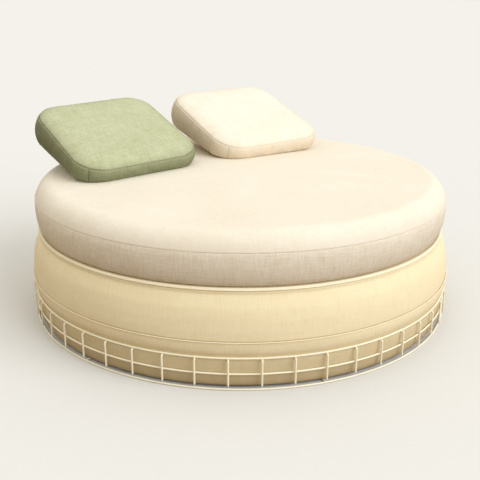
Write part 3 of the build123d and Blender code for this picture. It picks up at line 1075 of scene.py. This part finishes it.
class CushionNet:
    """The cloth of a cushion before it is stuffed: top, band and underside on one net of squares."""

    SQUARE = 0.0125
    ROLL_REACH = 0.019
    UNDERSIDE_SHIFT = 1.3
    BAND_SHIFT = 2.5

    def __init__(self, sizes, inset=0.0):
        self.half, self.corner = sizes.side / 2 - inset, sizes.corner - inset
        self.seam_half, self.seam_corner = self.half - sizes.tuck, self.corner - sizes.tuck
        self.front, self.back = sizes.front / 2 - inset, sizes.back / 2 - inset
        self.crown, self.roll, self.belly = sizes.crown, sizes.roll, sizes.belly
        self.points, self.faces, self.cloth, self.to_seam, self.panel = [], [], [], [], []
        self.lines = self.net_lines()
        top, underside = self.sheet(1), self.sheet(-1)
        n = len(self.lines) - 1
        edge = [(k, 0) for k in range(n)] + [(n, k) for k in range(n)]
        edge += [(n - k, n) for k in range(n)] + [(0, n - k) for k in range(n)]
        self.corners = [0, n, 2 * n, 3 * n]
        self.rows = self.band(edge, [top[place] for place in edge], [underside[place] for place in edge])

    def net_lines(self):
        """Where the lines of the net lie, from one seam to the other, closest beside the seams."""
        lines = [0.0, 0.0032, 0.0072, 0.0125, 0.019, 0.0275, 0.038, 0.050]
        rest = self.seam_half - lines[-1]
        count = max(1, round(rest / self.SQUARE))
        lines += [lines[-1] + rest * (k + 1) / count for k in range(count)]
        side = [line - self.seam_half for line in lines]
        return side + [-value for value in reversed(side[:-1])]

    def thickness(self, y):
        """Half the height of the band, which grows towards the back."""
        return self.front + (self.back - self.front) * (y + self.half) / (2 * self.half)

    def add(self, x, y, z, to_seam, panel):
        self.points.append((x, y, z))
        self.to_seam.append(to_seam)
        self.panel.append(panel)
        return len(self.points) - 1

    def sheet(self, side):
        """The top, side 1, or the underside, side -1, with its points by row and column."""
        half, corner = self.seam_half, self.seam_corner
        grid = {}
        for i, x in enumerate(self.lines):
            for j, y in enumerate(self.lines):
                far = max(abs(x), abs(y))
                out_x, out_y = (x / far, y / far) if far > NOTHING else (1.0, 0.0)
                edge_x, edge_y = rounded(out_x * half, out_y * half, half, corner)
                wide_x, wide_y = rounded(out_x * self.half, out_y * self.half, self.half, self.corner)
                px, py = rounded(x, y, half, corner)
                share = min(gauge(px, py, half, corner), 1.0)
                spare = (1 - self.thickness(edge_y) / self.back) * share ** 2
                px, py = px + (wide_x - edge_x) * spare, py + (wide_y - edge_y) * spare
                if side > 0:
                    z = self.thickness(py) + self.crown * (1 - share ** 3)
                    z += self.roll * (1 - math.exp(-(1 - share) * half / self.ROLL_REACH))
                else:
                    z = -self.thickness(py) - self.belly * (1 - share ** 2)
                grid[i, j] = self.add(px, py, z, (1 - share) * half, side)
        shift = 0.0 if side > 0 else self.UNDERSIDE_SHIFT
        n = len(self.lines) - 1
        for i in range(n):
            for j in range(n):
                face = [grid[i, j], grid[i + 1, j], grid[i + 1, j + 1], grid[i, j + 1]]
                face = face if side > 0 else face[::-1]
                self.faces.append(face)
                self.cloth += [(self.points[k][0] + shift, self.points[k][1]) for k in face]
        return grid

    def band(self, edge, upper_seam, lower_seam):
        """The band between the seams, as rows of points from the upper seam to the lower one."""
        ring = [rounded(self.lines[i], self.lines[j], self.seam_half, self.seam_corner) for i, j in edge]
        steps = [math.dist(ring[k - 1], ring[k]) for k in range(len(ring))]
        run = [0.0, *np.cumsum(steps[1:] + steps[:1])]
        scale = self.half / self.seam_half
        upper_levels = [0.955, 0.895, 0.80, 0.68, 0.54, 0.38, 0.20]
        levels = upper_levels + [0.0] + [-level for level in reversed(upper_levels)]
        rows = [upper_seam]
        for level in levels:
            row = []
            for (i, j), (seam_x, seam_y) in zip(edge, ring):
                wide_x, wide_y = rounded(self.lines[i] * scale, self.lines[j] * scale, self.half, self.corner)
                inset = level ** 2 * self.thickness(seam_y) / self.back
                x, y = wide_x + (seam_x - wide_x) * inset, wide_y + (seam_y - wide_y) * inset
                thick = self.thickness(y)
                row.append(self.add(x, y, level * thick, (1 - abs(level)) * thick, 0))
            rows.append(row)
        rows.append(lower_seam)
        marks = [1.0] + levels + [-1.0]
        for upper, lower, high, low in zip(rows, rows[1:], marks, marks[1:]):
            for k in range(len(edge)):
                after = (k + 1) % len(edge)
                face = [upper[k], lower[k], lower[after], upper[after]]
                self.faces.append(face)
                start, stop = run[k], run[k + 1]
                for v, along, level in zip(face, (start, start, stop, stop), (high, low, low, high)):
                    self.cloth.append((along, level * self.thickness(self.points[v][1]) + self.BAND_SHIFT))
        return rows


# The middle of each cushion, and its turn, tilt and roll in degrees
CUSHIONS = {
    "green": ((-0.452, 0.433, 0.7568), 1.8, 15.7, -1.85),
    "white": ((0.317, 0.433, 0.7612), -0.2, 15.2, -1.0),
}

# How strongly the cloth is held while it is stuffed
STUFFING = {
    "quality": 6, "mass": 0.25, "tension_stiffness": 12, "compression_stiffness": 12, "shear_stiffness": 4,
    "bending_stiffness": 0.4, "use_pressure": True, "uniform_pressure_force": 4, "shrink_min": -0.012,
    "vertex_group_mass": "held",
}


def laid(place, *angles):
    """Where a thing stands and how it is turned about three axes in turn, in degrees, as one matrix."""
    matrix = Matrix.Translation(place)
    for axis, angle in angles:
        matrix = matrix @ Matrix.Rotation(math.radians(angle), 4, axis)
    return matrix


def moved(points, matrix):
    """Points taken through a matrix."""
    matrix = np.array(matrix)
    return np.array(points) @ matrix[:3, :3].T + matrix[:3, 3]


def lifted(places, clear=0.0008):
    """Lets no point sink into the mattress, and says which points rest on it."""
    floor = top_height(np.hypot(places[:, 0], places[:, 1])) + clear
    resting = places[:, 2] < floor
    places[:, 2] = np.maximum(places[:, 2], floor)
    return resting


def read(source, name, count):
    """Points or normals of a mesh, one to a row."""
    values = np.empty(count * 3)
    source.foreach_get(name, values)
    return values.reshape(-1, 3)


def stuffed(piece, held, limit):
    """Blows up the cloth of a cushion between its seams and keeps the result."""
    group = piece.vertex_groups.new(name="held")
    group.add([int(index) for index in np.nonzero(held)[0]], 1.0, "REPLACE")
    cloth = piece.modifiers.new("stuffing", "CLOTH")
    for name, value in STUFFING.items():
        setattr(cloth.settings, name, value)
    cloth.settings.effector_weights.gravity = 0
    cloth.collision_settings.use_collision = False
    scene, last = bpy.context.scene, 20
    cloth.point_cache.frame_start, cloth.point_cache.frame_end = 1, last
    for number in range(1, last + 1):
        scene.frame_set(number)
    evaluated = piece.evaluated_get(bpy.context.evaluated_depsgraph_get())
    count = len(piece.data.vertices)
    after = read(evaluated.data.vertices, "co", count)
    before = read(piece.data.vertices, "co", count)
    piece.modifiers.remove(cloth)
    scene.frame_set(1)
    move = after - before
    length = np.linalg.norm(move, axis=1, keepdims=True)
    piece.data.vertices.foreach_set("co", (before + move * limit / (limit + length)).reshape(-1))
    piece.data.update()


def subdivided(piece):
    """Rounds a net once and keeps the result."""
    modifier = piece.modifiers.new("rounding", "SUBSURF")
    modifier.levels = modifier.render_levels = 1
    modifier.boundary_smooth = "PRESERVE_CORNERS"
    evaluated = piece.evaluated_get(bpy.context.evaluated_depsgraph_get())
    made = bpy.data.meshes.new_from_object(evaluated)
    piece.modifiers.remove(modifier)
    old = piece.data
    piece.data = made
    bpy.data.meshes.remove(old)
    made.name = piece.name


def remember(mesh, name, values):
    mesh.attributes.new(name, "FLOAT", "POINT").data.foreach_set("value", values)


def recall(mesh, name):
    values = np.empty(len(mesh.vertices))
    mesh.attributes[name].data.foreach_get("value", values)
    mesh.attributes.remove(mesh.attributes[name])
    return values


def near(distance, reach):
    """1 on a seam, and close to nothing at twice the reach."""
    return np.exp(-(distance / reach) ** 2)


class BED_OT_cushions(Operator):
    """Sews, stuffs and lays the two wedge cushions"""
    bl_idname = "round_bed.cushions"
    bl_label = "Cushions"

    def execute(self, context):
        sizes = context.scene.bed_cushions
        # The pale cushion's band, underside and seams get weaker, warm painted shade
        pale = mattress_cloth("white_weave", contrast=0.6, seams=(0.38, 0.50, 0.68))
        looks = {
            "green": (green_cloth(), "green_linen", sizes.green),
            "white": (pale, "mattress_linen", context.scene.bed_mattress.linen),
        }
        for name, (place, turn, tilt, roll) in CUSHIONS.items():
            cloth, slot, tint = looks[name]
            body = f"{name}_cushion"
            pose = laid(place, ("Z", turn), ("X", tilt), ("Y", roll))
            cover, loops = self.cover(f"{body}_cover", sizes, pose, cloth)
            settled(cover, body, slot, [f"{name}_{part}" for part in ("band", "top", "underside")])
            stitches = stitched(f"{body}_stitches", loops, thread(f"{name}_thread", tint), 0.0040, 0.0004)
            settled(stitches, body, slot)
            filling = self.filling(f"{body}_stuffing", sizes, pose)
            settled(filling, body, "cushion_filling", [f"{name}_filling"])
        return {"FINISHED"}

    def cover(self, name, sizes, pose, cloth):
        """The stuffed cover, and the lines of its stitches."""
        net = CushionNet(sizes)
        places = moved(net.points, pose)
        held = lifted(places)
        held[net.rows[0] + net.rows[-1]] = True
        piece = skin(name, places, net.faces, net.cloth, cloth)
        to_corner = np.full(len(places), 1.0)
        for row in net.rows:
            marks = [Vector(net.points[row[k]]) for k in net.corners]
            for v in row:
                to_corner[v] = min((Vector(net.points[v]) - mark).length for mark in marks)
        for measure, values in (("to_seam", net.to_seam), ("panel", net.panel), ("to_corner", to_corner)):
            remember(piece.data, measure, values)
        stuffed(piece, held, sizes.puff)
        subdivided(piece)
        return piece, self.drawn_in(piece.data, pose)

    def drawn_in(self, mesh, pose):
        """Draws the seams in, puckers the cloth beside them and gives the lines of the stitches."""
        to_seam, panel, to_corner = (recall(mesh, name) for name in ("to_seam", "panel", "to_corner"))
        count = len(mesh.vertices)
        places = read(mesh.vertices, "co", count)
        normals = read(mesh.vertex_normals, "vector", count)
        local = moved(places, pose.inverted())
        turn, level = np.arctan2(local[:, 1], local[:, 0]), local[:, 2]
        band = np.abs(panel) < 0.5

        seam_groove, seam_width = 0.0038, 0.0027
        corner_groove, corner_width, corner_end = 0.0026, 0.0026, 0.004
        pucker, swell = 0.0010, 0.0010
        waves_round, waves_down, lump_scale = 15, 5, 11
        groove = seam_groove * near(to_seam, seam_width)
        joint = corner_groove * near(to_corner, corner_width) * np.minimum(1, to_seam / corner_end)
        groove += np.where(band, joint, 0.0)
        waves = np.array([
            noise.noise(Vector((math.cos(a) * waves_round, math.sin(a) * waves_round, z * waves_down)))
            for a, z in zip(turn, level)
        ])
        lumps = np.array([noise.noise(Vector(p) * lump_scale) for p in local])
        folds = pucker * np.exp(-to_seam / PUCKER_REACH) * (1 - near(to_seam, PUCKER_START)) * waves
        calm = 1 - near(to_seam, CALM_REACH)
        places = places + normals * (folds - groove + swell * calm * lumps)[:, None]
        resting = lifted(places)
        mesh.vertices.foreach_set("co", places.reshape(-1))
        mesh.update()
        # Painted shade kept on the mesh: the band, the underside and the seams darker than the top
        remember(mesh, "clean", self.painted_shading(to_seam, panel, to_corner, band, level))
        return self.stitch_lines(places + normals * CLEAR, to_seam, panel, turn, resting)

    def painted_shading(self, to_seam, panel, to_corner, band, level):
        """Painted shade: 1 in the middle of the top, less by the seams, on the band and beneath."""
        top_shade, top_reach, under_shade = 0.26, 0.016, 0.6
        band_shade, band_light, band_reach = 0.54, 0.20, 0.014
        seam_shade, corner_shade, line_width = 0.25, 0.15, 0.0024
        on_top = 1 - top_shade * np.exp(-to_seam / top_reach)
        on_band = np.where(level > 0, band_shade + band_light * np.exp(-to_seam / band_reach), band_shade)
        clean = np.where(panel > 0.5, on_top, np.where(panel < -0.5, under_shade, on_band))
        clean *= 1 - seam_shade * near(to_seam, line_width)
        clean *= 1 - np.where(band, corner_shade * near(to_corner, line_width), 0.0)
        return clean

    def stitch_lines(self, places, to_seam, panel, turn, resting):
        """A closed line beside each seam that shows, a little inside the top or the underside."""
        narrow, wide, enough, hidden_share = (0.0046, 0.0053), (0.003, 0.0056), 40, 0.2
        loops = []
        for side in (1, -1):
            for least, most in (narrow, wide):
                lined = np.nonzero((to_seam > least) & (to_seam < most) & (panel * side > 0.5))[0]
                if len(lined) >= enough:
                    break
            lined = lined[np.argsort(turn[lined])]
            if side < 0 and resting[lined].mean() > hidden_share:
                continue
            loops.append([tuple(places[k]) for k in lined])
        return loops

    def filling(self, name, sizes, pose):
        """The wadding inside a cushion."""
        net = CushionNet(sizes, inset=0.012)
        places = moved(net.points, pose)
        lifted(places, 0.006)
        wadding = felt("white_wadding", paint(226, 224, 218), paint(246, 245, 240), 160.0)
        return skin(name, places, net.faces, net.cloth, wadding)


# Stage, light and camera

def sun(name, strength, spread, azimuth, elevation, tint):
    """A wide soft lamp. Its light comes from that azimuth, counted from +X towards +Y."""
    data = bpy.data.lights.new(name, "SUN")
    data.energy, data.angle, data.color = strength, math.radians(spread), tint
    lamp = bpy.data.objects.new(name, data)
    a, e = math.radians(azimuth), math.radians(elevation)
    towards = Vector((math.cos(a) * math.cos(e), math.sin(a) * math.cos(e), math.sin(e)))
    lamp.rotation_euler = towards.to_track_quat("Z", "Y").to_euler()
    lamp.location = towards * 6
    bpy.context.scene.collection.objects.link(lamp)


def seen_or_lit(nodes, seen, lit):
    """One look where the camera sees a thing itself, in a mirror or through glass, and one for its light."""
    path = nodes.add("ShaderNodeLightPath")
    rays = path.part("Is Camera Ray") + path.part("Is Glossy Ray") + path.part("Is Transmission Ray")
    return nodes.add("ShaderNodeMixShader", {0: nodes.between(rays, 0.0, 1.0), 1: lit, 2: seen})


class BED_OT_stage(Operator):
    """Sets up the floor, the light and the camera"""
    bl_idname = "round_bed.stage"
    bl_label = "Stage"

    def execute(self, context):
        sizes = context.scene.bed_stage
        self.lay_floor(sizes)
        self.light_room(context.scene, sizes)
        self.place_camera(context.scene, sizes)
        return {"FINISHED"}

    def lay_floor(self, sizes):
        finish = bpy.data.materials.new("stage_floor")
        finish.use_nodes = True
        nodes = Nodes(finish.node_tree)
        grain = nodes.noise(nodes.place(), 3.0)
        pale = nodes.mix(grain, darker(sizes.floor_colour, 0.985), sizes.floor_colour)
        shown = nodes.add("ShaderNodeBsdfDiffuse", {"Color": pale})
        bounce = nodes.add("ShaderNodeBsdfDiffuse", {"Color": sizes.bounce})
        nodes.add("ShaderNodeOutputMaterial", {"Surface": seen_or_lit(nodes, shown, bounce)})
        rims = [(sizes.floor * share, 0.0) for share in (0.0, 0.05, 0.2, 1.0)]
        floor = turned("stage_floor", rims, 96, finish, flat=True)
        if floor.data.polygons[0].normal.z < 0:
            floor.data.flip_normals()

    def light_room(self, scene, sizes):
        world = bpy.data.worlds.new("soft_studio")
        scene.world = world
        world.use_nodes = True
        nodes = Nodes(world.node_tree)
        light = nodes.add("ShaderNodeBackground", {"Color": (1.0, 0.965, 0.875), "Strength": sizes.sky})
        shown = nodes.add("ShaderNodeBackground", {"Color": sizes.floor_colour, "Strength": 1.0})
        nodes.add("ShaderNodeOutputWorld", {"Surface": seen_or_lit(nodes, shown, light)})
        sun("lamp_above", sizes.above, spread=60, azimuth=-50, elevation=85, tint=(0.80, 0.95, 1.25))
        sun("lamp_beside", sizes.beside, spread=50, azimuth=-66, elevation=30, tint=(0.96, 1.0, 1.08))
        scene.view_settings.view_transform = "Standard"

    def place_camera(self, scene, sizes):
        data = bpy.data.cameras.new("camera")
        data.sensor_fit, data.sensor_width, data.lens = "HORIZONTAL", 36.0, sizes.lens
        data.clip_end = 500
        camera = bpy.data.objects.new("camera", data)
        camera.matrix_world = laid((-2.0628, -2.9480, 1.516), ("Z", -34.966), ("X", 70.96), ("Z", 0.268))
        scene.collection.objects.link(camera)
        scene.camera = camera


OPERATORS = (
    BED_OT_stage, BED_OT_rings, BED_OT_uprights, BED_OT_spokes, BED_OT_welds, BED_OT_boards,
    BED_OT_dust_cloth, BED_OT_covers, BED_OT_trim, BED_OT_deck, BED_OT_mattress, BED_OT_stitches,
    BED_OT_cushions,
)


class BED_PT_bed(Panel):
    """Lists the sizes, the colours and the steps that make the bed"""
    bl_idname = "BED_PT_bed"
    bl_label = "Round Bed"
    bl_space_type = "VIEW_3D"
    bl_region_type = "UI"
    bl_category = "Round Bed"

    def draw(self, context):
        for group in GROUPS:
            box = self.layout.box()
            sizes = getattr(context.scene, group)
            for name in sizes.bl_rna.properties.keys():
                if name not in ("rna_type", "name"):
                    box.prop(sizes, name)
        for step in OPERATORS:
            self.layout.operator(step.bl_idname)


CLASSES = (*GROUPS.values(), *OPERATORS, BED_PT_bed)


def register():
    for kind in CLASSES:
        bpy.utils.register_class(kind)
    for name, group in GROUPS.items():
        setattr(bpy.types.Scene, name, PointerProperty(type=group))


def unregister():
    for name in GROUPS:
        delattr(bpy.types.Scene, name)
    for kind in reversed(CLASSES):
        bpy.utils.unregister_class(kind)


def main():
    register()
    for step in OPERATORS:
        group, name = step.bl_idname.split(".")
        getattr(getattr(bpy.ops, group), name)()


if __name__ == "__main__":
    main()
